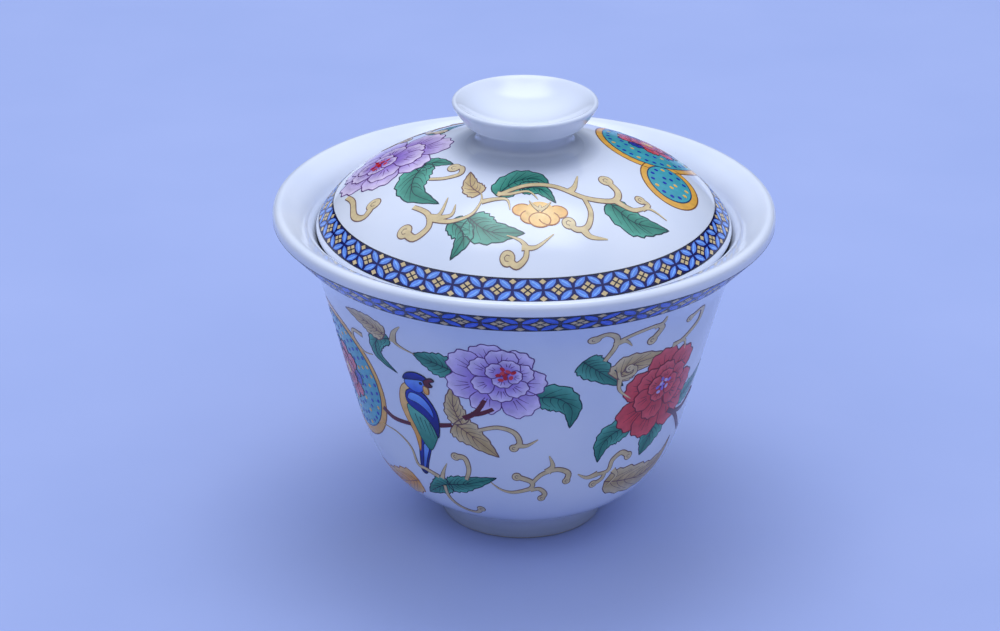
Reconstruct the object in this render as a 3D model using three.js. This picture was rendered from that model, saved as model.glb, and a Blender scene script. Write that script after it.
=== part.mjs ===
// Covered tea bowl (gaiwan): a flared porcelain bowl on a foot ring, and a domed lid with a dish-shaped knob.
// Millimetres. +Z is up, and the origin is the centre of the foot where it stands.
import * as THREE from 'three';

// Driving dimensions
const RIM_RADIUS = 52.75;
const RIM_HEIGHT = 71.3;
const FOOT_RADIUS = 17.5;
const FOOT_HEIGHT = 5.2;
const LID_RADIUS = 43.7;
const LID_EDGE_HEIGHT = 66.2;
const CROWN_RADIUS = 12.3;
const CROWN_HEIGHT = 84.1;
const KNOB_RADIUS = 15.2;
const NECK_RADIUS = 9.6;
const KNOB_HEIGHT = 94.0;
const WALL = 2.7;
const LID_WALL = 2.3;
const SEAM_GAP = 0.3;

// Smoothness
const SEGMENTS = 64;
const LONG_STEPS = 9;
const SHORT_STEPS = 5;
const ARC_STEPS = 4;

const GLAZE = { roughness: 0.12, metalness: 0 };

const radians = (degrees) => THREE.MathUtils.degToRad(degrees);

const point = (radius, height) => new THREE.Vector2(radius, height);

// A step of the given length from a point, at an angle above the outward horizontal.
function stepFrom(start, degrees, length) {
  return point(start.x + length * Math.cos(radians(degrees)), start.y + length * Math.sin(radians(degrees)));
}

// A smooth curve that leaves one end and reaches the other in the given directions.
// The pull is how far each direction is held, as a share of the distance between the ends.
function sweep(start, startDegrees, end, endDegrees, pull, steps) {
  const reach = pull * start.distanceTo(end);
  const leave = stepFrom(start, startDegrees, reach);
  const arrive = stepFrom(end, endDegrees, -reach);
  return new THREE.CubicBezierCurve(start, leave, arrive, end).getPoints(steps);
}

// A rounded edge of the given radius about a centre, turning from one angle to another.
function roundEdge(centre, radius, startDegrees, endDegrees) {
  const turn = { start: radians(startDegrees), end: radians(endDegrees), clockwise: endDegrees < startDegrees };
  return new THREE.EllipseCurve(centre.x, centre.y, radius, radius, turn.start, turn.end, turn.clockwise)
    .getPoints(ARC_STEPS);
}

// Joins stretches of outline, leaving out a point that repeats the one before it.
function outline(...stretches) {
  const points = stretches.flat();
  return points.filter((here, index) => index === 0 || here.distanceTo(points[index - 1]) > 1e-6);
}

function porcelain(name, profile, colour) {
  const material = new THREE.MeshStandardMaterial({ color: colour, ...GLAZE });
  material.name = name;
  // Turning a profile in the XY plane makes a solid about +Y, which then stands up along +Z.
  const geometry = new THREE.LatheGeometry(profile, SEGMENTS).rotateX(Math.PI / 2);
  const mesh = new THREE.Mesh(geometry, material);
  mesh.name = name;
  return mesh;
}

// The bowl: a flat underside, a rounded belly, a straight wall leaning outward and a flared lip.
// The lip is thick and well rounded above, with an upright outer face and a tighter turn below it.
function bowl() {
  const wallDegrees = 75.4;
  const lipRadius = 1.5;
  const lipFace = 0.8;
  const lipUnderRadius = 0.6;
  const lipCentre = point(RIM_RADIUS - lipRadius, RIM_HEIGHT - lipRadius);
  const lipUnderCentre = point(RIM_RADIUS - lipUnderRadius, lipCentre.y - lipFace);
  const flareUnderDegrees = 48;
  const flareTopDegrees = 25;
  const seatDegrees = 64;
  const floorHeight = FOOT_HEIGHT + 3;

  const base = point(FOOT_RADIUS + 0.7, FOOT_HEIGHT);
  const bellyTop = point(base.x + 17, base.y + 20.3);
  const wallTop = stepFrom(bellyTop, wallDegrees, 30.5);
  const lipUnder = roundEdge(lipUnderCentre, lipUnderRadius, flareUnderDegrees - 90, 0);
  const lip = roundEdge(lipCentre, lipRadius, 0, flareTopDegrees + 90);

  const seat = point(LID_RADIUS + 0.6, LID_EDGE_HEIGHT);
  const innerWallTop = stepFrom(wallTop, wallDegrees + 90, WALL);
  const innerBellyTop = stepFrom(bellyTop, wallDegrees + 90, WALL);

  const profile = outline(
    [point(0, FOOT_HEIGHT)],
    sweep(base, 20, bellyTop, wallDegrees, 0.41, LONG_STEPS),
    sweep(wallTop, wallDegrees, lipUnder[0], flareUnderDegrees, 0.36, SHORT_STEPS),
    lipUnder,
    lip,
    sweep(lip[ARC_STEPS], flareTopDegrees - 180, seat, seatDegrees - 180, 0.38, SHORT_STEPS),
    sweep(seat, seatDegrees - 180, innerWallTop, wallDegrees - 180, 0.34, SHORT_STEPS),
    sweep(innerBellyTop, wallDegrees - 180, point(0, floorHeight), 180, 0.46, LONG_STEPS),
  );
  return porcelain('bowl', profile, 0xe9edf4);
}

// The foot ring under the bowl: slightly narrower where it stands, with softened edges.
function footRing() {
  const ringWidth = 3;
  const edge = 0.5;
  const topHeight = FOOT_HEIGHT - SEAM_GAP;
  const topRadius = FOOT_RADIUS + 0.5;
  const innerRadius = FOOT_RADIUS - ringWidth;
  const profile = [
    point(innerRadius + edge, 0),
    point(FOOT_RADIUS - edge, 0),
    point(FOOT_RADIUS, edge),
    point(topRadius, topHeight - edge),
    point(topRadius - edge, topHeight),
    point(innerRadius, topHeight),
    point(innerRadius, edge),
    point(innerRadius + edge, 0),
  ];
  return porcelain('foot_ring', profile, 0xdfe2e8);
}

// The lid: a flat seat for the knob, a dome that steepens outward, and a rounded edge inside the flare.
function lid() {
  const edgeRadius = LID_WALL / 2;
  const edgeDegrees = 60;
  const edgeCentre = point(LID_RADIUS - edgeRadius, LID_EDGE_HEIGHT);
  const knobSeat = point(CROWN_RADIUS, CROWN_HEIGHT);
  const edge = roundEdge(edgeCentre, edgeRadius, 90 - edgeDegrees, -90 - edgeDegrees);

  const domeInside = point(0, CROWN_HEIGHT - LID_WALL);
  const profile = outline(
    [domeInside],
    sweep(domeInside, 0, edge[ARC_STEPS], -edgeDegrees, 0.3, LONG_STEPS),
    edge.reverse(),
    sweep(edge[ARC_STEPS], 180 - edgeDegrees, knobSeat, 170, 0.31, LONG_STEPS),
    [point(0, CROWN_HEIGHT)],
  );
  return porcelain('lid', profile, 0xe9edf4);
}

// The knob: a short neck under a shallow dish, whose underside turns in sharply to meet the neck.
function lidKnob() {
  const lipRadius = 0.6;
  const dishDepth = 4.8;
  const lipCentre = point(KNOB_RADIUS - lipRadius, KNOB_HEIGHT - lipRadius);
  const lip = roundEdge(lipCentre, lipRadius, -34, 128);
  const neckFoot = point(NECK_RADIUS + 0.6, CROWN_HEIGHT + SEAM_GAP);
  const waist = point(NECK_RADIUS, CROWN_HEIGHT + 2);
  const dishUnder = point(KNOB_RADIUS - 2.8, KNOB_HEIGHT - 4.7);
  const dishCentre = point(0, KNOB_HEIGHT - dishDepth);

  const profile = outline(
    [point(0, neckFoot.y), neckFoot],
    sweep(waist, 90, dishUnder, 10, 0.6, SHORT_STEPS),
    sweep(dishUnder, 50, lip[0], 60, 0.3, SHORT_STEPS),
    lip,
    sweep(lip[ARC_STEPS], -142, dishCentre, 180, 0.36, SHORT_STEPS + 1),
  );
  return porcelain('lid_knob', profile, 0xe9edf4);
}

const gaiwan = new THREE.Group();
gaiwan.name = 'gaiwan';
gaiwan.add(bowl(), footRing(), lid(), lidKnob());

export default gaiwan;
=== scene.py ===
"""A covered porcelain tea bowl: four turned pieces on the CAD outlines, painted in raised enamel."""
import bisect
import math
import random

import bmesh
import bpy
from mathutils import Matrix, Quaternion, Vector
from mathutils.geometry import delaunay_2d_cdt


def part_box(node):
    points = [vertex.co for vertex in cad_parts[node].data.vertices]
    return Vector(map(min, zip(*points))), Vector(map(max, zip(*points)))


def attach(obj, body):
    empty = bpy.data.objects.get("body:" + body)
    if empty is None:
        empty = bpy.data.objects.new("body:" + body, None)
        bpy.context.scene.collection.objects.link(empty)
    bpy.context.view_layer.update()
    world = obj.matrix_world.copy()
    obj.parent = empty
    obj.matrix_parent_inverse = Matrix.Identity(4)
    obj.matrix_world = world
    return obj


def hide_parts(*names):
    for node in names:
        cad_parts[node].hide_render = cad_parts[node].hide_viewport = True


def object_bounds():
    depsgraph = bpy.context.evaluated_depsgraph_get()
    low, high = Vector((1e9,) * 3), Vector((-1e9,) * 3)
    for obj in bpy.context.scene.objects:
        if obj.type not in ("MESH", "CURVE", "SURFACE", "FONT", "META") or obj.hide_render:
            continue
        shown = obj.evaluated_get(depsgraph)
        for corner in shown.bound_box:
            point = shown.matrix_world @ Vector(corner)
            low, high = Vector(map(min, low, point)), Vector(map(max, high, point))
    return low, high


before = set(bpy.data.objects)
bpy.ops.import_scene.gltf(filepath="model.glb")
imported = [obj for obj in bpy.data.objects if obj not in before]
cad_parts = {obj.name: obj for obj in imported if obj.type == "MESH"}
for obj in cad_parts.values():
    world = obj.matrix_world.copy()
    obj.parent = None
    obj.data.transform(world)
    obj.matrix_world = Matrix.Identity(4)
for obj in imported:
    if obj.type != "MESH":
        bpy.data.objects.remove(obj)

# ---------------------------------------------------------------- sizes, from the frame

cad_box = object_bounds()
rim_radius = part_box("bowl")[1].x
MM = rim_radius / 52.75      # the decoration is drawn in millimetres, for a rim 105.5 mm across

TOUCH = 0.001 * MM           # points closer than this are the same point
PLACES = 6                   # decimals of a metre by which a CAD outline's points are matched
SINK = 0.4 * MM              # how far a piece reaches into the one it is fired to
SEGMENTS = 192               # round each turned piece
LEG_STEP = 1.2 * MM          # longest step along a turned outline
CORNER = math.radians(60)    # a turn sharper than this stays a corner

# ---------------------------------------------------------------- turned outlines


def meridian(node):
    """A CAD node's outline in the half-plane y = 0, x > 0, walked from its innermost, lowest point."""
    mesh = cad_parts[node].data
    links = {}
    for edge in mesh.edges:
        ends = [mesh.vertices[i].co for i in edge.vertices]
        if all(abs(co.y) < TOUCH and co.x > -TOUCH for co in ends):
            a, b = [(round(co.x, PLACES), round(co.z, PLACES)) for co in ends]
            links.setdefault(a, set()).add(b)
            links.setdefault(b, set()).add(a)
    walk = [min(links)]
    while ahead := links[walk[-1]] - set(walk):
        walk.append(min(ahead, key=lambda point: point[1]))
    return [Vector(point) for point in walk]


def headings(points, closed):
    """The directions in which a smooth curve reaches and leaves each point. They differ only at corners.
    An open curve leaves the axis and comes back to it level."""
    found = []
    for i, here in enumerate(points):
        before = points[i - 1] if closed or i > 0 else here - Vector((MM, 0))
        after = points[(i + 1) % len(points)] if closed or i < len(points) - 1 else here - Vector((MM, 0))
        arrive = (here - before).normalized()
        leave = (after - here).normalized()
        if arrive.angle(leave) < CORNER:
            arrive = leave = (after - before).normalized()
        found.append((arrive, leave))
    return found


class Outline:
    """A smooth curve through (radius, height) points, to turn into a piece or to paint on."""

    def __init__(self, points, closed=False):
        self.closed = closed
        self.points = []
        ways = headings(points, closed)
        for i in range(len(points) if closed else len(points) - 1):
            a, b = points[i], points[(i + 1) % len(points)]
            start, end = ways[i][1], ways[(i + 1) % len(points)][0]
            reach = (b - a).length
            steps = max(3, math.ceil(reach / LEG_STEP))
            for step in range(steps):
                t = step / steps
                point = a * (2 * t**3 - 3 * t**2 + 1) + b * (3 * t**2 - 2 * t**3)
                point += (start * (t**3 - 2 * t**2 + t) + end * (t**3 - t**2)) * reach
                above_ground = max(point.y, cad_box[0].z)
                self.points.append(Vector((max(point.x, 0), above_ground)))
        if not closed:
            self.points.append(points[-1])
        self.along = [0.0]
        for a, b in zip(self.points, self.points[1:]):
            self.along.append(self.along[-1] + (b - a).length)

    def along_at(self, radius, height):
        """How far along the curve its nearest point to (radius, height) is."""
        target = Vector((radius, height))
        nearest = min(range(len(self.points)), key=lambda i: (self.points[i] - target).length)
        return self.along[nearest]

    def place(self, angle, along, lift):
        """The point at that angle round from the front, that far along, lifted off the surface."""
        i = min(max(bisect.bisect(self.along, along) - 1, 0), len(self.along) - 2)
        share = (along - self.along[i]) / (self.along[i + 1] - self.along[i])
        here = self.points[i].lerp(self.points[i + 1], share)
        way = (self.points[i + 1] - self.points[i]).normalized()
        if 0 < i < len(self.points) - 2:
            before = (self.points[i] - self.points[i - 1]).normalized()
            after = (self.points[i + 2] - self.points[i + 1]).normalized()
            way = (before + way).lerp(way + after, share).normalized()
        radius = here.x + way.y * lift
        return Vector((radius * math.sin(angle), -radius * math.cos(angle), here.y - way.x * lift))


def arc(centre, radius, start, end, steps=4):
    """Points round part of a circle, from one angle in degrees to another."""
    angles = [math.radians(start + (end - start) * i / steps) for i in range(steps + 1)]
    return [centre + Vector((math.cos(a), math.sin(a))) * radius for a in angles]


# ---------------------------------------------------------------- meshes


def mesh_piece(name, points, faces, look, body, sharp, tones):
    """An object that rides on a body, facing outwards and smooth but for edges turned more than sharp."""
    mesh = bpy.data.meshes.new(name)
    mesh.from_pydata(points, [], faces)
    tidy = bmesh.new()
    tidy.from_mesh(mesh)
    bmesh.ops.recalc_face_normals(tidy, faces=tidy.faces)
    tidy.to_mesh(mesh)
    tidy.free()
    mesh.shade_smooth()
    mesh.set_sharp_from_angle(angle=sharp)
    mesh.attributes.new("tone", "FLOAT", "POINT").data.foreach_set("value", tones)
    mesh.materials.append(look)
    piece = bpy.data.objects.new(name, mesh)
    bpy.context.scene.collection.objects.link(piece)
    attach(piece, body)
    return piece


def turned(name, outline, look, body, tone=0.0):
    """A solid turned about the Z axis, of one tone. An open outline starts and ends on the axis."""
    points = []
    rings = []
    for spot in outline.points:
        if spot.x < TOUCH:
            rings.append([len(points)] * SEGMENTS)
            points.append((0, 0, spot.y))
        else:
            rings.append(list(range(len(points), len(points) + SEGMENTS)))
            turns = [2 * math.pi * i / SEGMENTS for i in range(SEGMENTS)]
            points += [(spot.x * math.sin(turn), -spot.x * math.cos(turn), spot.y) for turn in turns]
    pairs = list(zip(rings, rings[1:]))
    if outline.closed:
        pairs.append((rings[-1], rings[0]))
    faces = []
    for low, high in pairs:
        for i in range(SEGMENTS):
            j = (i + 1) % SEGMENTS
            face = list(dict.fromkeys((low[i], low[j], high[j], high[i])))
            if len(face) > 2:
                faces.append(face)
    return mesh_piece(name, points, faces, look, body, CORNER, [tone] * len(points))


# ---------------------------------------------------------------- materials


def colour(red, green, blue):
    """A colour picked as it looks on a screen, 0 to 255, as the linear light that shaders use."""
    shares = [level / 255 for level in (red, green, blue)]
    return tuple(s / 12.92 if s < 0.04045 else ((s + 0.055) / 1.055) ** 2.4 for s in shares) + (1.0,)


class Shader:
    """A material with one Principled surface, and short ways to add the nodes that feed it."""

    def __init__(self, name):
        self.material = bpy.data.materials.new(name)
        self.material.use_nodes = True
        self.tree = self.material.node_tree
        self.surface = self.tree.nodes["Principled BSDF"]
        self.spot = self.tree.nodes.new("ShaderNodeTexCoord").outputs["Object"]

    def feed(self, node, **inputs):
        """Links or sets a node's inputs, named with _ for each space."""
        for name, value in inputs.items():
            socket = node.inputs[name.replace("_", " ")]
            if isinstance(value, bpy.types.NodeSocket):
                self.tree.links.new(value, socket)
            else:
                socket.default_value = value

    def height(self):
        """Height above the ground."""
        node = self.tree.nodes.new("ShaderNodeSeparateXYZ")
        self.feed(node, Vector=self.spot)
        return node.outputs["Z"]

    def noise(self, size, detail=2.0):
        """Soft noise whose blotches are about size across, from 0 to 1."""
        node = self.tree.nodes.new("ShaderNodeTexNoise")
        self.feed(node, Vector=self.spot, Scale=1 / size, Detail=detail)
        return node.outputs["Fac"]

    def spread(self, value, low, high, start=0.0, end=1.0):
        """value from low to high, stretched to start to end."""
        node = self.tree.nodes.new("ShaderNodeMapRange")
        self.feed(node, Value=value, From_Min=low, From_Max=high, To_Min=start, To_Max=end)
        return node.outputs["Result"]

    def ramp(self, value, *stops):
        """A colour for each value, from (value, colour) stops."""
        node = self.tree.nodes.new("ShaderNodeValToRGB")
        marks = node.color_ramp.elements
        while len(marks) < len(stops):
            marks.new(1.0)
        for mark, (position, shade) in zip(marks, stops):
            mark.position = position
            mark.color = shade
        self.feed(node, Fac=value)
        return node.outputs["Color"]

    def blend(self, share, under, over, kind="MIX"):
        """Two colours mixed, under where share is 0 and over where it is 1."""
        node = self.tree.nodes.new("ShaderNodeMixRGB")
        node.blend_type = kind
        self.feed(node, Fac=share, Color1=under, Color2=over)
        return node.outputs["Color"]

    def times(self, a, b):
        """Two values multiplied."""
        node = self.tree.nodes.new("ShaderNodeMath")
        node.operation = "MULTIPLY"
        for socket, value in zip(node.inputs, (a, b)):
            if isinstance(value, bpy.types.NodeSocket):
                self.tree.links.new(value, socket)
            else:
                socket.default_value = value
        return node.outputs[0]

    def bump(self, height, depth, under=None):
        """Relief from a 0 to 1 height, depth deep, on top of any relief under it."""
        node = self.tree.nodes.new("ShaderNodeBump")
        self.feed(node, Height=height, Distance=depth, Strength=1.0)
        if under:
            self.feed(node, Normal=under)
        return node.outputs["Normal"]


def porcelain(name, painted_shadow=None, biscuit_height=None):
    """White glazed porcelain, wiped bare under biscuit_height. Painted shade darkens it grey-blue where a
    neighbour shades it, from the first height in painted_shadow to the second."""
    shader = Shader(name)
    drift = shader.noise(22 * MM)
    shade = shader.ramp(drift, (0.3, colour(222, 228, 243)), (0.7, colour(235, 238, 248)))

    # a rare dark iron speck
    specks = shader.tree.nodes.new("ShaderNodeTexVoronoi")
    shader.feed(specks, Vector=shader.spot, Scale=1 / (7 * MM))
    rare = shader.spread(specks.outputs["Color"], 0.72, 0.75)
    dot = shader.times(rare, shader.spread(specks.outputs["Distance"], 0.016, 0.026, 1, 0))
    shade = shader.blend(dot, shade, colour(150, 140, 140))

    # a glossy surface that is very slightly wavy and pitted
    roughness = shader.spread(shader.noise(9 * MM, 4), 0.3, 0.7, 0.05, 0.12)
    relief = shader.bump(shader.noise(14 * MM), 0.05 * MM)
    relief = shader.bump(shader.noise(1.1 * MM), 0.0015 * MM, relief)
    # painted shade: grey-blue darkening between two heights, where a neighbouring piece or the floor shades
    # this one
    if painted_shadow:
        shadow_share = shader.spread(shader.height(), *painted_shadow, 0, 0.5)
        shade = shader.blend(shadow_share, shade, colour(140, 152, 168))
    if biscuit_height:
        bare = shader.spread(shader.height(), 0.6 * biscuit_height, biscuit_height, 1, 0)
        grain = shader.noise(0.35 * MM, 6)
        clay = shader.ramp(grain, (0.35, colour(196, 184, 170)), (0.65, colour(222, 212, 200)))
        shade = shader.blend(bare, shade, clay)
        roughness = shader.blend(bare, roughness, (0.75, 0.75, 0.75, 1))
        relief = shader.bump(shader.times(bare, grain), 0.08 * MM, relief)
    shader.feed(shader.surface, Base_Color=shade, Roughness=roughness, Normal=relief, IOR=1.52)
    return shader.material


def enamel(name, line, deep, pale):
    """Fired overglaze enamel. A mark's tone picks its colour: 0 is the drawn line, then deep to pale."""
    shader = Shader(name)
    tone = shader.tree.nodes.new("ShaderNodeAttribute")
    tone.attribute_name = "tone"
    shade = shader.ramp(tone.outputs["Fac"], (0.03, line), (0.08, deep), (1.0, pale))
    brushed = shader.spread(shader.noise(1.6 * MM, 4), 0.3, 0.7, 0.86, 1.1)
    shade = shader.blend(1.0, shade, brushed, "MULTIPLY")
    roughness = shader.spread(shader.noise(3 * MM, 3), 0.3, 0.7, 0.08, 0.2)
    relief = shader.bump(shader.noise(0.6 * MM, 3), 0.012 * MM)
    shader.feed(shader.surface, Base_Color=shade, Roughness=roughness, Normal=relief, IOR=1.5)
    return shader.material


ENAMELS = {
    "green": enamel("enamel_green", colour(12, 54, 60), colour(22, 116, 96), colour(112, 204, 178)),
    "tan": enamel("enamel_tan", colour(120, 86, 84), colour(196, 162, 104), colour(244, 224, 178)),
    "lilac": enamel("enamel_lilac", colour(98, 50, 124), colour(146, 104, 208), colour(244, 226, 250)),
    "red": enamel("enamel_red", colour(110, 8, 36), colour(200, 12, 34), colour(238, 88, 94)),
    "gold": enamel("enamel_gold", colour(134, 84, 40), colour(226, 146, 32), colour(250, 198, 92)),
    "orange": enamel("enamel_orange", colour(170, 100, 50), colour(244, 160, 24), colour(255, 220, 150)),
    "teal": enamel("enamel_teal", colour(12, 66, 110), colour(22, 120, 150), colour(90, 196, 204)),
    "cobalt": enamel("enamel_cobalt", colour(6, 6, 44), colour(8, 10, 84), colour(26, 52, 190)),
    "sky": enamel("enamel_sky", colour(6, 8, 84), colour(34, 84, 216), colour(140, 190, 255)),
    "maroon": enamel("enamel_maroon", colour(50, 8, 28), colour(84, 18, 36), colour(130, 40, 56)),
    "black": enamel("enamel_black", colour(12, 10, 30), colour(14, 14, 36), colour(30, 28, 60)),
}

# ---------------------------------------------------------------- laying enamel

ROOT = -0.04 * MM            # how deep a mark's underside sits in the glaze
FILL = 0.035 * MM            # how proud the first colour stands
LAYER = 0.02 * MM            # how much further each colour above it stands
LINE = 0.012 * MM            # how far a drawn line stands above its own colour
GRAIN = 1.1                  # spacing of a fill's inner points, in chart millimetres
MERGE = 1e-5                 # a fill's points closer than this are merged, in chart millimetres
INSIDE_ONLY = 1              # tells delaunay_2d_cdt to keep only the tiles inside the outline


def inside(point, outline):
    """True if the point is inside the closed outline."""
    crossings = 0
    for a, b in zip(outline, outline[1:] + outline[:1]):
        if (a.y > point.y) != (b.y > point.y):
            crossings += point.x < a.x + (b.x - a.x) * (point.y - a.y) / (b.y - a.y)
    return crossings % 2 == 1


class Painter:
    """Lays raised enamel through a chart, which takes x, y, lift and turn to a point, at each of its turns.
    marks holds what has been laid, by colour."""

    def __init__(self, chart, turns=(0.0,), marks=None):
        self.chart = chart
        self.turns = turns
        self.marks = {} if marks is None else marks

    def solid(self, shade, corners, faces):
        """Adds one closed solid of a colour. A corner is (x, y, lift, tone)."""
        points, sides, tones = self.marks.setdefault(shade, ([], [], []))
        for turn in self.turns:
            start = len(points)
            points += [self.chart(x, y, lift, turn) for x, y, lift, tone in corners]
            tones += [tone for x, y, lift, tone in corners]
            sides += [[start + i for i in face] for face in faces]

    def fill(self, shade, outline, level=0, tone=lambda spot: 0.6):
        """A slab of colour inside a closed outline, with its tone at each point."""
        low = Vector((min(p.x for p in outline), min(p.y for p in outline)))
        high = Vector((max(p.x for p in outline), max(p.y for p in outline)))
        across, up = [int((high[i] - low[i]) / GRAIN) for i in (0, 1)]
        middle = (low + high - Vector((across, up)) * GRAIN) / 2
        grid = [middle + Vector((i, j)) * GRAIN for i in range(across + 1) for j in range(up + 1)]
        grid = [spot for spot in grid if inside(spot, outline)]
        loop = list(range(len(outline)))
        spots, _, tiles, *_ = delaunay_2d_cdt(outline + grid, [], [loop], INSIDE_ONLY, MERGE)
        count = len(spots)
        lift = FILL + LAYER * level
        corners = [(spot.x, spot.y, lift, tone(spot)) for spot in spots]
        corners += [(x, y, ROOT, shown) for x, y, _, shown in corners]
        faces = [list(tile) for tile in tiles]
        faces += [[count + i for i in reversed(tile)] for tile in tiles]
        sides = {(a, b) for tile in tiles for a, b in zip(tile, tile[1:] + tile[:1])}
        faces += [[b, a, count + a, count + b] for a, b in sides if (b, a) not in sides]
        self.solid(shade, corners, faces)

    def stroke(self, shade, path, width, level=0, tone=0.0, closed=False, taper=(1.0, 1.0)):
        """A raised line of a colour along a path, its width tapered from one end to the other."""
        lift = FILL + LAYER * level + LINE
        last = len(path) - 1
        corners = []
        for i, here in enumerate(path):
            before = path[i - 1] if closed or i else here
            after = path[(i + 1) % len(path)] if closed or i < last else here
            side = (after - before).orthogonal().normalized()
            reach = side * width / 2 * (taper[0] + (taper[1] - taper[0]) * i / last)
            left, right = here - reach, here + reach
            for spot, raised in ((left, ROOT), (left, lift), (right, lift), (right, ROOT)):
                corners.append((spot.x, spot.y, raised, tone))
        faces = []
        for i in range(len(path) if closed else last):
            a, b = 4 * i, 4 * ((i + 1) % len(path))
            faces += [[a + k, a + (k + 1) % 4, b + (k + 1) % 4, b + k] for k in range(4)]
        if not closed:
            faces += [[3, 2, 1, 0], [4 * last + k for k in range(4)]]
        self.solid(shade, corners, faces)

    def finish(self, prefix, body):
        """Makes one piece of each colour that was laid."""
        for shade, (points, sides, tones) in self.marks.items():
            name = f"{prefix}_enamel_{shade}"
            piece = mesh_piece(name, points, sides, ENAMELS[shade], body, math.radians(35), tones)


# ---------------------------------------------------------------- motifs, in chart millimetres

DRAWN = 0.26                 # width of a drawn outline
VEIN = 0.15                  # width of a vein or a petal's streak
EDGE = 0.2                   # how far a scroll's dark edge shows on each side
LEAVES = {"green": -1, "tan": -0.3, "orange": -0.3}    # level of each colour of leaf
PETALS = 1.3                 # level of a peony's lowest petals, over any leaf
TWIGS = 2.7                  # level of the branch, over a peony's outer petals
TEETH = 7                    # along each side of a leaf
LEAF_FIT = 1.42              # brings a leaf's broadest place to its width
VEINED = 0.62                # share of a leaf's rib that its veins spring from
VEIN_REACH = 0.78            # how far veins go towards the leaf's edge


def curve(points, closed=False, steps=6):
    """A smooth curve through the given points."""
    points = [Vector(point) for point in points]
    last = len(points) - 1
    found = []
    for i in range(len(points) if closed else last):
        a, b = points[i], points[(i + 1) % len(points)]
        before = points[i - 1] if closed or i else a
        after = points[(i + 2) % len(points)] if closed or i + 2 <= last else b
        for step in range(steps):
            t = step / steps
            push = (b - before) * (t**3 - 2 * t**2 + t) / 2 + (after - a) * (t**3 - t**2) / 2
            found.append(a * (2 * t**3 - 3 * t**2 + 1) + b * (3 * t**2 - 2 * t**3) + push)
    return found if closed else found + [points[-1]]


def blob(centre, across, up, lean=0.0, count=20):
    """An oval outline, leaning that many degrees."""
    spin = Matrix.Rotation(math.radians(lean), 2)
    turns = [2 * math.pi * i / count for i in range(count)]
    return [Vector(centre) + spin @ Vector((across * math.cos(a), up * math.sin(a))) for a in turns]


def polar(angle, radius):
    return Vector((math.cos(angle), math.sin(angle))) * radius


def leaf(paint, spine, width, shade="green", veins=4):
    """A leaf along a spine from its stem: broad and toothed at first, then drawn out to a tail."""
    level = LEAVES[shade]
    rib = curve(spine, steps=24 // (len(spine) - 1))
    last = len(rib) - 1

    def reach(i):
        share = i / last
        toothed = 0.86 + 0.2 * (share * TEETH % 1)
        way = rib[min(i + 1, last)] - rib[max(i - 1, 0)]
        return way.orthogonal().normalized() * width * toothed * LEAF_FIT * share**0.5 * (1 - share) ** 1.2

    inner = range(1, last)
    outline = [rib[0]] + [rib[i] + reach(i) for i in inner] + [rib[last]]
    outline += [rib[i] - reach(i) for i in reversed(inner)]
    paint.fill(shade, outline, level, lambda spot: 0.1 + 1.3 * min((spot - r).length for r in rib) / width)
    paint.stroke(shade, outline, DRAWN, level, closed=True)
    paint.stroke(shade, rib, 1.4 * VEIN, level, taper=(1.4, 0.4))
    for vein in range(1, veins + 1):
        start = round(last * VEINED * vein / (veins + 1))
        end = min(start + 5, last - 1)
        for side in (-1, 1):
            tip = rib[end] + reach(end) * side * VEIN_REACH
            bow = (rib[start] + tip) / 2 - (rib[start + 1] - rib[start])
            paint.stroke(shade, curve((rib[start], bow, tip), steps=4), VEIN, level, taper=(1.2, 0.4))


def scroll(paint, points, ball=0.0, width=1.0, level=1):
    """A dark-edged stem along points. It ends in a curled ball of that radius, or else narrows to a tip."""
    path = curve(points)
    taper = (0.7, 1.15) if ball else (1.0, 0.12)
    paint.stroke("tan", path, width + 2 * EDGE, level, taper=taper)
    paint.stroke("tan", path, width, level + 1.5, 0.6, taper=taper)
    if ball:
        paint.fill("tan", blob(path[-1], ball + EDGE, ball + EDGE), level, lambda spot: 0.0)
        paint.fill("tan", blob(path[-1], ball, ball), level + 1.5, lambda spot: 0.7)
        paint.stroke("tan", arc(path[-1], 0.45 * ball, 40, 290), VEIN, level + 1.5)


def petal(paint, root, heading, length, spread, shade, level):
    """A fan-shaped petal: a rounded, gently waved edge, pale outside, with three streaks."""

    def edge(share):
        wave = 1 + 0.03 * math.cos(5 * math.pi * share)
        return root + polar(heading + spread * share, length * wave * max(1 - abs(share) ** 2.6, 0) ** 0.36)

    outline = [edge(i / 11) for i in range(-11, 11)]
    paint.fill(shade, outline, level, lambda spot: 0.1 + 0.9 * min((spot - root).length / length, 1) ** 2)
    paint.stroke(shade, outline, 0.85 * DRAWN, level, closed=True)
    for share in (-0.36, 0, 0.36):
        near = 0.5
        far = 0.86 - 0.3 * abs(share)
        stops = (near, 0.5 * (near + far), far)
        streak = [root + polar(heading + spread * share * stop, length * stop) for stop in stops]
        paint.stroke(shade, streak, VEIN, level, taper=(1.4, 0.3))


PEONY_RINGS = ((1.0, 7), (0.66, 6), (0.36, 4))    # each ring's share of the radius, and its petals
STAMENS = 9
GOLDEN_TURN = 2.4            # angle from each stamen to the next, which spreads them evenly


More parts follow.
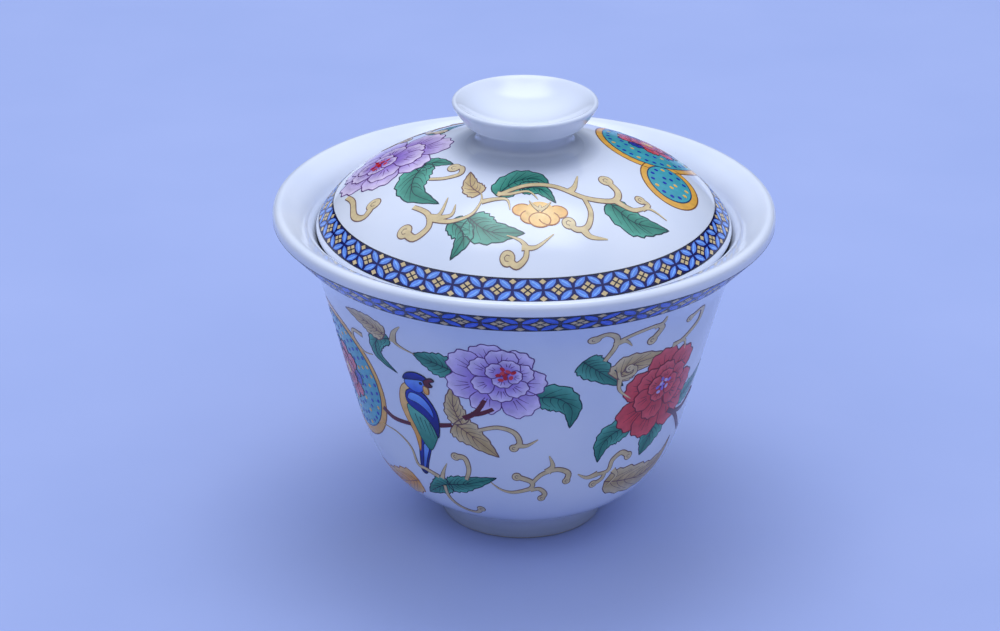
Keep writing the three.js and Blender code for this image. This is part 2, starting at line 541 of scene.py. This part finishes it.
def peony(paint, centre, heart, radius, shade, core, draw):
    """A double peony: three rings of petals closing in on the heart, and a tuft of stamens there."""
    for ring, (share, count) in enumerate(PEONY_RINGS):
        middle = Vector(centre).lerp(Vector(heart), ring / 2)
        spread = 0.78 * 2 * math.pi / count
        for i in range(count):
            heading = 2 * math.pi * (i + 0.4 * ring) / count + draw.uniform(-0.16, 0.16)
            root = middle + polar(heading, 0.12 * radius * share)
            length = radius * share * draw.uniform(0.76, 0.98)
            petal(paint, root, heading, length, spread, shade, PETALS + 2 * ring + i % 2)
    for i in range(STAMENS):
        odd = 0.5 * (i % 2)
        end = Vector(heart) + polar(GOLDEN_TURN * i, 0.06 * radius * math.sqrt(i))
        tuft = blob(end, 0.6, 0.42, lean=50 * i, count=8)
        paint.fill(core, tuft, PETALS + 2 * len(PEONY_RINGS) + odd, lambda spot: 0.1 + odd)


TAIL = (
    (0.4, -3), (-0.4, -6.4), (-1, -10.4), (-1.2, -12.6),
    (-0.3, -13.4), (0.6, -12.6), (1.4, -10), (3.2, -4),
)
TAIL_SHINE = ((1.2, -4.6), (0.5, -8), (-0.4, -12.2), (0.5, -11), (1.4, -8.4), (2.4, -5.4))
BREAST = (
    (0.2, 11), (-1.5, 10.2), (-2.6, 8), (-3.1, 4.6), (-2.2, 1),
    (-0.7, -2.6), (-0.2, -7), (0.8, -2), (0.8, 8),
)
FLANK = (
    (-1, 5.4), (2.6, 4.6), (5, 2), (5.4, -0.8), (4.3, -3.8),
    (2.8, -5.8), (1, -3.4), (-0.1, -0.4), (-1.1, 2.6),
)
WING = (
    (-1, 8.4), (0.6, 9.9), (2.6, 10), (4.4, 8.2), (5.8, 5.2),
    (6.1, 2), (5.4, -1.8), (4.4, 1), (2.6, 3.4), (-0.8, 5.5),
)
WING_SHINE = ((-0.6, 7.6), (0.5, 8.9), (2.9, 8.4), (4.7, 6), (5, 3.4), (3.4, 5.2), (1.6, 6.4), (-0.4, 6.8))
HEAD = ((-0.6, 11), (0, 12.6), (2.4, 13.3), (4.1, 12.5), (3.9, 10.8), (2.6, 9.4), (0.7, 9.7))
CAP = ((-0.9, 12.1), (0.1, 13.8), (2.3, 14.6), (4.3, 14.1), (4.8, 13), (3.2, 12.9), (1.2, 12.5))
CHEEK = ((3.8, 11.6), (4.8, 11.2), (4.7, 9.6), (3.8, 9.8))
BEAK = ((4.2, 13.2), (5.6, 14), (6.3, 13.4), (5.2, 12.8), (5.8, 11.9), (4.6, 11.6), (4, 12.3))
EYE = (3.3, 12.1)
PLUMAGE = (                  # each patch's colour and its outline from the feet, lowest patch first
    ("cobalt", TAIL),
    ("sky", TAIL_SHINE),
    ("orange", BREAST),
    ("green", FLANK),
    ("cobalt", WING),
    ("sky", WING_SHINE),
    ("sky", HEAD),
    ("cobalt", CAP),
    ("orange", CHEEK),
    ("maroon", BEAK),
)


def bird(paint, feet):
    """A small songbird on its branch, with its tail hanging below its feet."""
    feet = Vector(feet)
    for level, (shade, points) in enumerate(PLUMAGE):
        outline = curve([feet + Vector(point) for point in points], closed=True, steps=4)
        low = min(spot.y for spot in outline)
        high = max(spot.y for spot in outline)
        paint.fill(shade, outline, level, lambda spot: 0.15 + 0.7 * (spot.y - low) / (high - low))
        paint.stroke(shade, outline, 0.7 * DRAWN, level, closed=True)
    paint.fill("black", blob(feet + Vector(EYE), 0.36, 0.36, count=10), len(PLUMAGE))
    flank_level = [outline for shade, outline in PLUMAGE].index(FLANK)
    for i in range(4):
        start = feet + Vector((0.4 + 1.1 * i, 3.2 - 0.5 * i))
        paint.stroke("green", [start, start + Vector((0.9, -3.8))], 0.2, flank_level, taper=(1.0, 0.4))


BORDER = (1.4, 2)            # width of a medallion's gold border at its sides, and at its top and bottom
DOT_GAP = 2.1                # from one dot in a medallion's field to the next
DOT_RADIUS = 0.45


def medallion(paint, lobes, bloom):
    """Overlapping lobes (centre, half width, half height, lean): a gold border, a teal field of small dots,
    and a flower of that size in the last lobe."""
    side, end = BORDER
    for centre, across, up, lean in lobes:
        paint.fill("gold", blob(centre, across + side, up + end, lean, 40), 0)
        paint.stroke("gold", blob(centre, across + side, up + end, lean, 48), DRAWN, 0, closed=True)
    for level, (centre, across, up, lean) in enumerate(lobes):
        field = blob(centre, across, up, lean, 40)
        paint.fill("teal", field, 2 + 0.5 * level)
        paint.stroke("teal", field, DRAWN, 2, closed=True)
        rings = round(across / DOT_GAP)
        for ring in [(k + 0.55) / rings for k in range(rings)]:
            count = round(math.pi * (across + up) * ring / DOT_GAP)
            for i, dot in enumerate(blob(centre, across * ring, up * ring, lean, count)):
                shade = "gold" if i % 4 == 0 else "cobalt"
                paint.fill(shade, blob(dot, DOT_RADIUS, DOT_RADIUS, count=8), 4, lambda spot: 0.8)
    centre, across, up, lean = lobes[-1]
    for ring, count in enumerate((9, 6)):
        length = bloom * (1 - 0.4 * ring)
        for i in range(count):
            heading = 2 * math.pi * (i + 0.5 * ring) / count
            shade = "cobalt" if ring == 0 and i % 3 == 0 else "red"
            petal(paint, Vector(centre), heading, length, 4 / count, shade, 5 + 2 * ring + i % 2)
    paint.fill("gold", blob(centre, 0.2 * bloom, 0.2 * bloom, lean), 9, lambda spot: 0.8)


LOBES = (                    # each lobe's centre and size, as shares of the small flower's reach
    (-0.78, 0.1, 0.34),
    (0.78, 0.1, 0.34),
    (-0.4, -0.28, 0.36),
    (0.4, -0.3, 0.36),
    (0, -0.42, 0.38),
)
CUP = (0, 0.1, 0.5)          # the undrawn middle that fills between the lobes


def small_flower(paint, centre, reach):
    """A little orange flower seen from the side: round lobes in a row, hanging from curled sepals."""
    centre = Vector(centre)
    for i, (x, y, size) in enumerate((*LOBES, CUP)):
        level = 1 + i / 2
        lobe = blob(centre + Vector((x, y)) * reach, 1.25 * size * reach, size * reach)
        paint.fill("orange", lobe, level, lambda spot: 1 - 0.5 * (spot - centre).length / reach)
        if i < len(LOBES):
            paint.stroke("orange", lobe, DRAWN, level, closed=True)
    for lean in (-1, 0, 1):
        steps = ((0, 0.4), (1.2 * lean, 1.4), (2.2 * lean, 1.9 + abs(lean)))
        scroll(paint, [centre + Vector(step) for step in steps], width=0.8, level=5)


# ---------------------------------------------------------------- coin band


def belt(name, outline, low, high, top, look, body, tone):
    """A flat ring of enamel between two distances along an outline, its face lifted by top."""
    steps = max(1, round((high - low) / LEG_STEP))
    along = [low + (high - low) * i / steps for i in range(steps + 1)]
    face = [outline.place(0, a, top) for a in along] + [outline.place(0, a, ROOT) for a in reversed(along)]
    section = Outline([Vector((-spot.y, spot.z)) for spot in face], closed=True)
    return turned(name, section, look, body, tone)


LENS_SHARE = 0.82            # size of a lens beside the overlap of two coins
STAR_SHARE = 0.72            # size of a coin's dark star beside the space between its lenses
STAR_SQUARES = 0.28          # how far from a coin's middle its four tan squares sit, in coin radii
GAP_SQUARES = 0.74           # how far from the band's middle the tan squares between coins sit
STREAK = ((0.76, 0.28), (0.54, 0.54), (0.28, 0.76))    # the paler streak along a lens, in coin radii
STREAK_WIDTH = 0.34
GROUND_TONE = 0.3            # a band's ground beside its lenses


def coin_band(outline, low, high, count, phase, tone, marks):
    """Touching coins round a belt, each of four sky lenses round a dark star, with tan squares in the gaps.
    Phase is how far round the front coin sits, as a share of a coin."""
    half = (high - low) / 2 / MM
    middle = (high + low) / 2
    pitch = -2 * math.pi * outline.place(0, middle, 0).y / count / MM
    coin, corner, neighbour = Vector((0, 0)), Vector((1, 1)), Vector((2, 0))

    def chart(x, y, lift, turn):
        return outline.place(2 * math.pi * x / pitch / count + turn, middle + y * MM, lift)

    def scaled(spots):
        return [Vector((spot[0] * pitch / 2, spot[1] * half)) for spot in spots]

    paint = Painter(chart, [2 * math.pi * (i + phase) / count for i in range(count)], marks)

    def tan_square(centre, reach):
        corners = [centre + polar(math.radians(90 * i), reach) for i in range(4)]
        paint.fill("tan", scaled(corners), 2, lambda spot: 0.5)

    star = []
    for quarter in range(4):
        spin = Matrix.Rotation(math.radians(90 * quarter), 2)
        overlap = arc(coin, 1, 0, 90) + arc(corner, 1, 180, 270)[1:-1]
        lens = [spin @ (corner / 2).lerp(spot, LENS_SHARE) for spot in overlap]
        paint.fill("sky", scaled(lens), 1, lambda spot: tone)
        streak = [spin @ Vector(spot) for spot in STREAK]
        paint.stroke("sky", scaled(streak), STREAK_WIDTH, 1, 2 * tone, taper=(0.5, 1.0))
        star += [spin @ spot * STAR_SHARE for spot in arc(corner, 1, 270, 180)[:-1]]
        tan_square(spin @ Vector((STAR_SQUARES, 0)), 0.2)
    paint.fill("black", scaled(star), 1)
    for side in (-1, 1):
        gap = arc(coin, 1.1, 58, 22) + arc(neighbour, 1.1, 158, 122)
        paint.fill("black", scaled([(spot.x, spot.y * side) for spot in gap]), 1)
        tan_square(Vector((1, GAP_SQUARES * side)), 0.24)


# ---------------------------------------------------------------- porcelain

FOOT_FILLET = 1.2 * MM       # round the inside of the foot ring's top
SPILL = 0.4                  # how far along the neighbour's next stretch a fired joint's glaze runs

bowl_points = meridian("bowl")
lid_points = meridian("lid")
foot_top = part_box("foot_ring")[1].z
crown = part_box("lid")[1].z

bowl_glaze = porcelain("bowl_porcelain")
# painted shade: the foot ring turns darker towards the floor
foot_glaze = porcelain("foot_porcelain", (foot_top, 0.4 * foot_top), biscuit_height=0.5 * MM)
# painted shadow of the knob: the lid darker round the knob's neck, and the neck darker down towards the lid
lid_glaze = porcelain("lid_porcelain", (crown - 0.8 * MM, crown))
knob_glaze = porcelain("knob_porcelain", (crown + 4 * MM, crown + 1 * MM))


def foot_section():
    """The foot ring, joined to the bowl by a fillet inside and by glaze that runs up the belly outside."""
    ring = [point for point in meridian("foot_ring") if point.y < foot_top - TOUCH]
    underside = bowl_points[0].y
    inside_corner = Vector((ring[0].x - FOOT_FILLET, underside - FOOT_FILLET))
    belly_join = bowl_points[1].lerp(bowl_points[2], SPILL)
    glaze_run = (ring[-1] + belly_join + bowl_points[1] * 2) / 4
    sunk = [Vector((radius, underside + SINK)) for radius in (bowl_points[1].x, ring[0].x)]
    rising = arc(inside_corner, FOOT_FILLET, 90, 0) + ring
    return Outline(rising + [glaze_run, belly_join] + sunk, closed=True)


def knob_section():
    """The knob, joined to the lid's crown by glaze that runs down its neck."""
    knob = meridian("lid_knob")
    crown_join = lid_points[-2]
    glaze_run = (crown_join + knob[2] + knob[1] * 2) / 4
    sunk = [Vector((radius, crown_join.y - SINK)) for radius in (0, knob[1].x)]
    return Outline(sunk + [crown_join, glaze_run] + knob[2:])


bowl_outline = Outline(bowl_points)
lid_outline = Outline(lid_points)

for name, outline, look, body, node, material_slot in (
    ("bowl_porcelain", bowl_outline, bowl_glaze, "bowl", "bowl", "body_glaze"),
    ("foot_porcelain", foot_section(), foot_glaze, "bowl", "foot_ring", "foot_glaze"),
    ("lid_porcelain", lid_outline, lid_glaze, "lid", "lid", "body_glaze"),
    ("knob_porcelain", knob_section(), knob_glaze, "lid", "lid_knob", "body_glaze"),
):
    piece = turned(name, outline, look, body)
    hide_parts(node)

# ---------------------------------------------------------------- the bowl's decoration

BELLY_RADIUS = 38            # the bowl chart's x is the distance round at this radius
HALF_TURNS = (0.0, math.pi)  # the design is painted on the front and again on the back
SEED = 7                     # for the petals' small differences
belly_start = bowl_outline.along_at(*bowl_points[1])


def bowl_chart(x, y, lift, turn):
    """x round the belly from the front and y up it from the foot, in millimetres."""
    return bowl_outline.place(x / BELLY_RADIUS + turn, belly_start + y * MM, lift)


draw = random.Random(SEED)
bowl = Painter(bowl_chart, HALF_TURNS)

# branch, bird and peonies
for twig in (
    ((-33, 37.4), (-30, 35.9), (-25, 36.2)),
    ((-18.6, 38), (-16.6, 38.4), (-14.6, 39)),
    ((-11.8, 41.4), (-9.2, 43.4), (-7.2, 47)),
    ((-10, 42.8), (-8, 43.4), (-5.6, 44.8)),
    ((36, 36.2), (40, 33.6), (44, 29.6), (47, 26.6)),
    ((39, 34.4), (44, 33.6), (49, 36)),
):
    bowl.stroke("maroon", curve(twig), 1.15, TWIGS, 0.4, taper=(1.1, 0.8))
bird(bowl, (-23.6, 36.4))
peony(bowl, (-4.8, 52.4), (-3.2, 54.2), 10.2, "lilac", "red", draw)
peony(bowl, (31, 43.4), (31, 45), 11.4, "red", "lilac", draw)

# leaves
for shade, width, veins, spine in (
    ("green", 6.2, 4, ((-13.2, 53.8), (-17, 55), (-21, 56))),
    ("green", 7.0, 4, ((2.6, 48), (6.6, 47.8), (9.8, 44.6), (9.8, 39.4))),
    ("green", 4.0, 4, ((-26, 57.9), (-29.4, 56.4), (-30.2, 52.4), (-25.8, 49.2))),
    ("green", 6.2, 5, ((11, 56.8), (14.4, 53.6), (20.2, 48.4))),
    ("green", 6.6, 4, ((24.4, 37), (20, 35.6), (17.8, 33), (17.4, 28.6))),
    ("green", 8.6, 4, ((32.4, 35), (31.4, 31.4), (29.6, 26.8))),
    ("green", 5.4, 4, ((-17.4, 22), (-20.6, 20.2), (-25.2, 16.6))),
    ("green", 5.0, 5, ((-18, 21.6), (-13, 23), (-5.6, 25.9))),
    ("green", 5.6, 4, ((40, 37.4), (45, 38.6), (51, 42))),
    ("green", 5.0, 4, ((-52, 4), (-46, 4.4), (-39, 3))),
    ("tan", 5.8, 5, ((-27, 58.4), (-31.6, 60.4), (-37, 61.2))),
    ("tan", 4.8, 4, ((-12.4, 39.6), (-13.8, 44), (-13.4, 50))),
    ("tan", 6.8, 4, ((-14, 39.6), (-10.4, 36.8), (-4.8, 31.8))),
    ("tan", 6.8, 5, ((18.4, 50.6), (21.6, 53.6), (30.6, 53.6))),
    ("tan", 8.6, 6, ((20.6, 22.2), (27, 20.6), (34, 19.6), (40, 22), (42.4, 26.6))),
    ("orange", 8.4, 6, ((-27.4, 19.6), (-38, 15.4), (-54, 16))),
):
    leaf(bowl, spine, width, shade, veins)

# scrolls; those without a ball end in a point
for ball, width, points in (
    (0.0, 0.75, ((-25.4, 58.2), (-23.6, 56.8), (-20.6, 55.9))),
    (0.0, 1.5, ((-25.2, 57.4), (-24.4, 60.2), (-22.4, 62.8))),
    (0.0, 0.8, ((-34, 55.4), (-37, 55.4), (-37.6, 53.4), (-35, 51), (-32, 51.4))),
    (0.85, 0.95, ((-9, 38.6), (-5, 39.9), (-1.6, 38.8), (-0.4, 36), (-1.6, 34.5))),
    (0.0, 1.3, ((-1, 35.4), (1, 35.2), (3.4, 36.8))),
    (0.9, 1.0, ((-12.8, 24.4), (-11.9, 27.4), (-12.6, 30.4), (-14.8, 30.4))),
    (0.0, 1.1, ((-19.2, 23.2), (-18.4, 25.4), (-17.2, 27.9))),
    (1.0, 0.95, ((-19, 21), (-18.8, 17), (-16.4, 13.6), (-12.6, 12.4), (-10.6, 14.6))),
    (0.0, 0.9, ((-20, 23.4), (-23.4, 24.6), (-25.6, 25.2), (-26.6, 29.4), (-30, 32), (-35, 32.4))),
    (0.0, 0.95, ((3, 23.4), (-1.6, 22), (-4.6, 22.6), (-7, 24.6))),
    (0.8, 0.95, ((2.2, 22.6), (4.2, 23), (5.6, 21.4), (4.9, 20))),
    (0.95, 0.95, ((1.4, 22.6), (2.6, 24), (2, 25.4), (-1, 26.6))),
    (0.8, 1.0, ((2.4, 24.6), (4.6, 27.2), (8, 28.3), (10.6, 27), (10.4, 24.8))),
    (0.0, 1.7, ((5.8, 27.8), (6.9, 29.4), (6, 32.2))),
    (0.95, 1.0, ((16.8, 25.2), (20.6, 25.4), (21.4, 28.2), (23.6, 29.6), (25.8, 28))),
    (0.9, 0.9, ((20, 25.3), (19.4, 23.4), (17.4, 22.4))),
    (0.0, 1.4, ((18, 25.3), (15.4, 24.8), (13, 26.2))),
    (0.0, 1.2, ((22.2, 25.2), (23.6, 23.2), (21.6, 20.8))),
    (0.0, 1.0, ((19.2, 50.4), (19.6, 47.4), (22.6, 44.4))),
    (1.1, 1.05, ((15.2, 56.2), (16.8, 59.4), (16.6, 62.4), (14.4, 64.2), (12.4, 62.8))),
    (1.0, 1.05, ((16.4, 60.4), (20, 62.2), (24.4, 63.2), (26.2, 61.6), (24.8, 58.8))),
    (0.0, 1.6, ((24.2, 62.8), (25.8, 63.6), (25.6, 66))),
    (0.0, 1.2, ((17, 60.4), (18.8, 60.6), (20.4, 58.8))),
    (0.9, 0.8, ((18.6, 52.4), (19.4, 50.6), (22, 51), (22.2, 52.6), (21, 52.8))),
    (0.9, 0.95, ((31, 55), (34, 55.6), (37.8, 58.6), (37, 62.2), (34, 60.8))),
    (0.0, 1.1, ((31, 55), (34.4, 55), (35.4, 52.4))),
):
    scroll(bowl, points, ball, width)
medallion(bowl, (((-46.5, 41.4), 13.2, 13.6, 25),), 7.0)

# the rim band lies between two places under the flare, each a radius and a height
rim_low = bowl_outline.along_at(48.1 * MM, 63.8 * MM)
rim_high = bowl_outline.along_at(52.55 * MM, 68.55 * MM)

# ---------------------------------------------------------------- the lid's decoration

LID_BACK = math.radians(185)    # how far round the vine is painted again
HALVINGS = 24                # in the search for a radius along the dome

# the lid's chart reaches from here near its edge, a radius and a height, to its crown
lid_edge = lid_outline.along_at(43.6 * MM, 66.4 * MM)
lid_crown = lid_outline.along_at(*lid_points[-2])


def lid_chart(x, y, lift, turn):
    """The dome seen from above, in millimetres: x to the right, y away from the front."""
    radius = math.hypot(x, y) * MM
    low, high = lid_edge, lid_crown
    for _ in range(HALVINGS):
        middle = (low + high) / 2
        if -lid_outline.place(0, middle, 0).y > radius:
            low = middle
        else:
            high = middle
    return lid_outline.place(math.atan2(x, -y) + turn, low, lift)


lid_front = Painter(lid_chart)
lid_both = Painter(lid_chart, (0.0, LID_BACK), lid_front.marks)

# leaves
for paint, shade, width, veins, spine in (
    (lid_front, "green", 7.4, 5, ((-20.4, -6), (-22.8, -11), (-22.4, -16.4), (-17.2, -21.6))),
    (lid_front, "green", 4.4, 3, ((-22.4, -7), (-18.8, -6.4), (-14.6, -9))),
    (lid_front, "green", 4.2, 3, ((-20, 10), (-17, 14), (-12.6, 16.4))),
    (lid_both, "green", 6.4, 5, ((-5.6, -21.8), (-1.6, -17.6), (2.6, -16.8), (5, -18.8))),
    (lid_both, "green", 4.0, 4, ((-1, -20), (3, -19.8), (6.4, -23.6))),
    (lid_both, "green", 7.0, 5, ((17, -20.6), (21.4, -23.8), (25, -23.6), (29.4, -22))),
    (lid_both, "green", 4.8, 4, ((-14.6, -26.8), (-12, -31), (-14.6, -35.2))),
    (lid_both, "green", 6.8, 6, ((-11, -27), (-7, -30.8), (0.2, -31.6))),
    (lid_both, "tan", 4.4, 3, ((-8.8, -20.8), (-10.8, -18), (-11, -13.2))),
):
    leaf(paint, spine, width, shade, veins)

# scrolls; those without a ball end in a point
for paint, ball, width, points in (
    (lid_front, 1.4, 1.1, ((-36.8, -5.4), (-35.4, -9), (-34.8, -14.4), (-32.6, -16.6), (-30.8, -14.2))),
    (lid_front, 1.3, 0.95, ((-19.4, -12.8), (-16.4, -13.8), (-13.2, -13.4), (-12.8, -11.2), (-14.4, -10.6))),
    (lid_front, 1.4, 1.15, ((-22.4, -20.4), (-19.4, -23.6), (-19.2, -27), (-22, -28.4), (-24, -26))),
    (lid_front, 0.0, 1.4, ((-19.4, -24.4), (-17, -24.6), (-15.4, -20.4))),
    (lid_front, 0.0, 1.2, ((-17.4, -25.4), (-14.6, -25.4), (-13.8, -22.8))),
    (lid_both, 0.0, 1.0, ((-18.4, -25.4), (-14.8, -27), (-10.6, -26.2), (-8.6, -22.8), (-8.8, -20.2))),
    (lid_both, 0.0, 1.1, ((-8.6, -23.2), (-5.6, -22.8), (-3.4, -23.2), (-2.8, -26))),
    (lid_both, 0.0, 1.0, ((-5.4, -21.2), (-3.2, -21.6), (0.8, -20.8), (2.8, -23))),
    (
        lid_both, 1.4, 1.1,
        ((-5.4, -21.8), (0.4, -19), (6, -18.8), (12.4, -21), (18, -20), (19, -16.8), (16.6, -14)),
    ),
    (lid_both, 0.0, 1.5, ((9.2, -19.8), (10.2, -18), (10.8, -14.4))),
    (lid_both, 0.0, 1.4, ((18.4, -19.8), (22, -20.8), (25.4, -18.6), (29, -19.6))),
    (lid_both, 1.0, 0.95, ((24, -19.8), (25.2, -17.6), (23.6, -17))),
    (lid_both, 1.3, 1.05, ((12, -21), (13.4, -24.6), (12.8, -28.4), (10.6, -29.6), (9, -28.4))),
    (lid_both, 0.0, 1.7, ((11.8, -29.2), (13.4, -30.6), (16.8, -30.2))),
    (lid_both, 1.4, 1.05, ((0.6, -34.2), (0.4, -36.6), (-1.4, -38), (-3.2, -36.6))),
    (lid_both, 0.0, 1.1, ((-0.4, -34.6), (2.6, -34.4), (6, -31.4))),
    (lid_both, 0.0, 1.0, ((0.9, -35), (-0.6, -33.2), (-3.4, -32))),
):
    scroll(paint, points, ball, width)
small_flower(lid_both, (3.2, -26.4), 4.6)
peony(lid_front, (-27, 2.2), (-30.4, 2.2), 11.6, "lilac", "red", draw)
medallion(lid_front, (((30, -5.8), 4.6, 6.4, 0), ((26, 13.4), 9.4, 14.4, -10)), 6.4)

# the lid's band lies between two places above its edge, each a radius and a height
band_low = lid_outline.along_at(42.9 * MM, 67.7 * MM)
band_high = lid_outline.along_at(39.87 * MM, 71.35 * MM)

# ---------------------------------------------------------------- bands, and one piece for each colour

BAND_EDGE = 0.16 * MM        # width of the dark line along each side of a band

# tone sets how pale each band's lenses, streaks and ground are: the rim band's low tone is painted shade,
# for the shade under the flare
for prefix, outline, low, high, count, phase, tone, marks, body in (
    ("rim_band", bowl_outline, rim_low, rim_high, 40, 0.43, 0.15, bowl.marks, "bowl"),
    ("lid_band", lid_outline, band_low, band_high, 43, 0.15, 0.5, lid_front.marks, "lid"),
):
    coin_band(outline, low, high, count, phase, tone, marks)
    for name, start, end, top, shade in (
        ("ground", low, high, FILL, "cobalt"),
        ("low_line", low - BAND_EDGE, low + BAND_EDGE / 2, FILL + LINE, "black"),
        ("high_line", high - BAND_EDGE / 2, high + BAND_EDGE, FILL + LINE, "black"),
    ):
        look = ENAMELS[shade]
        piece = belt(f"{prefix}_{name}", outline, start, end, top, look, body, GROUND_TONE * tone)
bowl.finish("bowl", "bowl")
lid_front.finish("lid", "lid")

# ---------------------------------------------------------------- floor, light and camera

FLOOR_REACH = 30 * (cad_box[1].x - cad_box[0].x)
SOFT_EDGE = 0.3              # how far in a softbox reaches full strength, as a share of its side
WALLS = 0.04                 # brightness of the world at the horizon
CEILING = 1.2                # and overhead
CEILING_EDGE = (0.2, 0.75)   # how far up the ceiling starts and is full, as the sine of its elevation
VIEWPOINT = Vector((0, -573, 310.3)) * MM    # the camera's place, fitted to the photograph
AIM = Vector((-4.9, 0, 44.7)) * MM           # and the point it looks at
ROLL = math.radians(0.39)    # the photograph's slight tilt
LENS = 106.4                 # in millimetres, as the camera takes it
SENSOR_WIDTH = 36


def floor():
    """A plain pale floor under the foot."""
    shader = Shader("pale_floor")
    drift = shader.noise(60 * MM, 3)
    shade = shader.ramp(drift, (0.3, colour(162, 177, 226)), (0.7, colour(167, 181, 229)))
    shader.feed(shader.surface, Base_Color=shade, Roughness=0.85)
    level = cad_box[0].z
    corners = [(x * FLOOR_REACH, y * FLOOR_REACH, level) for x, y in ((-1, -1), (1, -1), (1, 1), (-1, 1))]
    mesh = bpy.data.meshes.new("floor")
    mesh.from_pydata(corners, [], [(0, 1, 2, 3)])
    mesh.materials.append(shader.material)
    made = bpy.data.objects.new("floor", mesh)
    bpy.context.scene.collection.objects.link(made)


def softbox(name, place, aim, size, power, tint):
    """A rectangular area light that faces aim, brightest in the middle and fading towards its edges."""
    data = bpy.data.lights.new(name, "AREA")
    data.shape = "RECTANGLE"
    data.size, data.size_y = size
    data.energy = power
    data.color = tint
    data.use_nodes = True
    nodes, links = data.node_tree.nodes, data.node_tree.links
    across = nodes.new("ShaderNodeSeparateXYZ")
    links.new(nodes.new("ShaderNodeNewGeometry").outputs["Parametric"], across.inputs["Vector"])
    shares = []
    for axis in "XY":
        fade = nodes.new("ShaderNodeMapRange")
        fade.interpolation_type = "SMOOTHSTEP"
        distance = nodes.new("ShaderNodeMath")
        distance.operation = "PINGPONG"
        distance.inputs[1].default_value = 0.5
        links.new(across.outputs[axis], distance.inputs[0])
        links.new(distance.outputs[0], fade.inputs["Value"])
        fade.inputs["From Max"].default_value = SOFT_EDGE
        shares.append(fade.outputs["Result"])
    product = nodes.new("ShaderNodeMath")
    product.operation = "MULTIPLY"
    for share, socket in zip(shares, product.inputs):
        links.new(share, socket)
    links.new(product.outputs[0], nodes["Emission"].inputs["Strength"])
    lamp = bpy.data.objects.new(name, data)
    lamp.location = place
    lamp.rotation_euler = (Vector(aim) - Vector(place)).to_track_quat("-Z", "Y").to_euler()
    bpy.context.scene.collection.objects.link(lamp)


def studio_light():
    """Cool light from a broad bright ceiling over dim walls, with a weak softbox overhead."""
    world = bpy.data.worlds.new("studio")
    world.use_nodes = True
    nodes, links = world.node_tree.nodes, world.node_tree.links
    way = nodes.new("ShaderNodeSeparateXYZ")
    links.new(nodes.new("ShaderNodeTexCoord").outputs["Generated"], way.inputs["Vector"])
    ramp = nodes.new("ShaderNodeMapRange")
    ramp.interpolation_type = "SMOOTHSTEP"
    links.new(way.outputs["Z"], ramp.inputs["Value"])
    ramp.inputs["From Min"].default_value, ramp.inputs["From Max"].default_value = CEILING_EDGE
    ramp.inputs["To Min"].default_value = WALLS
    ramp.inputs["To Max"].default_value = CEILING
    links.new(ramp.outputs["Result"], nodes["Background"].inputs["Strength"])
    nodes["Background"].inputs["Color"].default_value = colour(225, 235, 255)
    bpy.context.scene.world = world
    softbox("overhead", (0, 0.2, 1.0), (0, 0, 0.05), (0.86, 0.62), 6.0, (0.92, 0.97, 1.0))


def camera():
    """The photograph's view: from the front and above, through a long lens."""
    data = bpy.data.cameras.new("camera")
    data.lens = LENS
    data.sensor_width = SENSOR_WIDTH
    made = bpy.data.objects.new("camera", data)
    made.location = VIEWPOINT
    made.rotation_mode = "QUATERNION"
    made.rotation_quaternion = (AIM - VIEWPOINT).to_track_quat("-Z", "Y") @ Quaternion((0, 0, 1), ROLL)
    bpy.context.scene.collection.objects.link(made)
    bpy.context.scene.camera = made


floor()
studio_light()
camera()
bpy.context.scene.view_settings.view_transform = "Standard"
